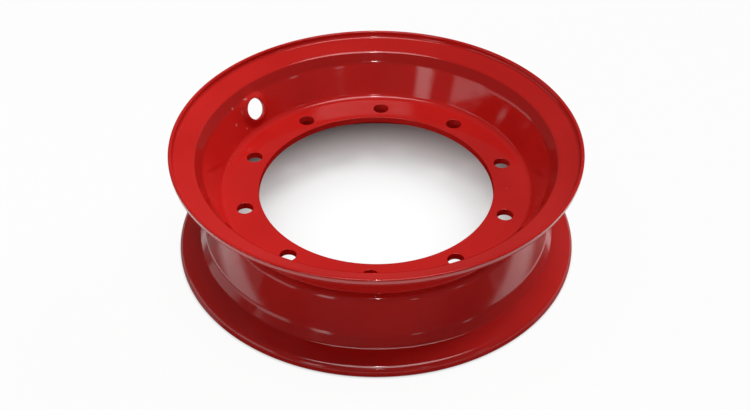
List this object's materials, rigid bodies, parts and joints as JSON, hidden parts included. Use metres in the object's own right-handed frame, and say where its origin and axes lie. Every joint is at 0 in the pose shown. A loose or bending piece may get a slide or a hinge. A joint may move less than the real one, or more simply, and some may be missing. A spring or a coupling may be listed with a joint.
{
  "type": "split rim wheel",
  "caption": "Two-piece split rim wheel of pressed steel: two dished half rims back to back, with a wide centre bore, a ring of stud holes and a dimpled valve hole.",
  "frame": {"origin": "on the wheel axis, in the plane that the lower lip stands on", "axes": "+Z along the wheel axis, from the lower half to the upper half; +X to the right in the picture"},
  "size_m": [0.504, 0.504, 0.152],
  "materials": {
    "gloss_red_paint": "gloss enamel over smooth sheet steel"
  },
  "bodies": {
    "root": {"upper_half_rim": "gloss_red_paint", "lower_half_rim": "gloss_red_paint"}
  },
  "joints": []
}
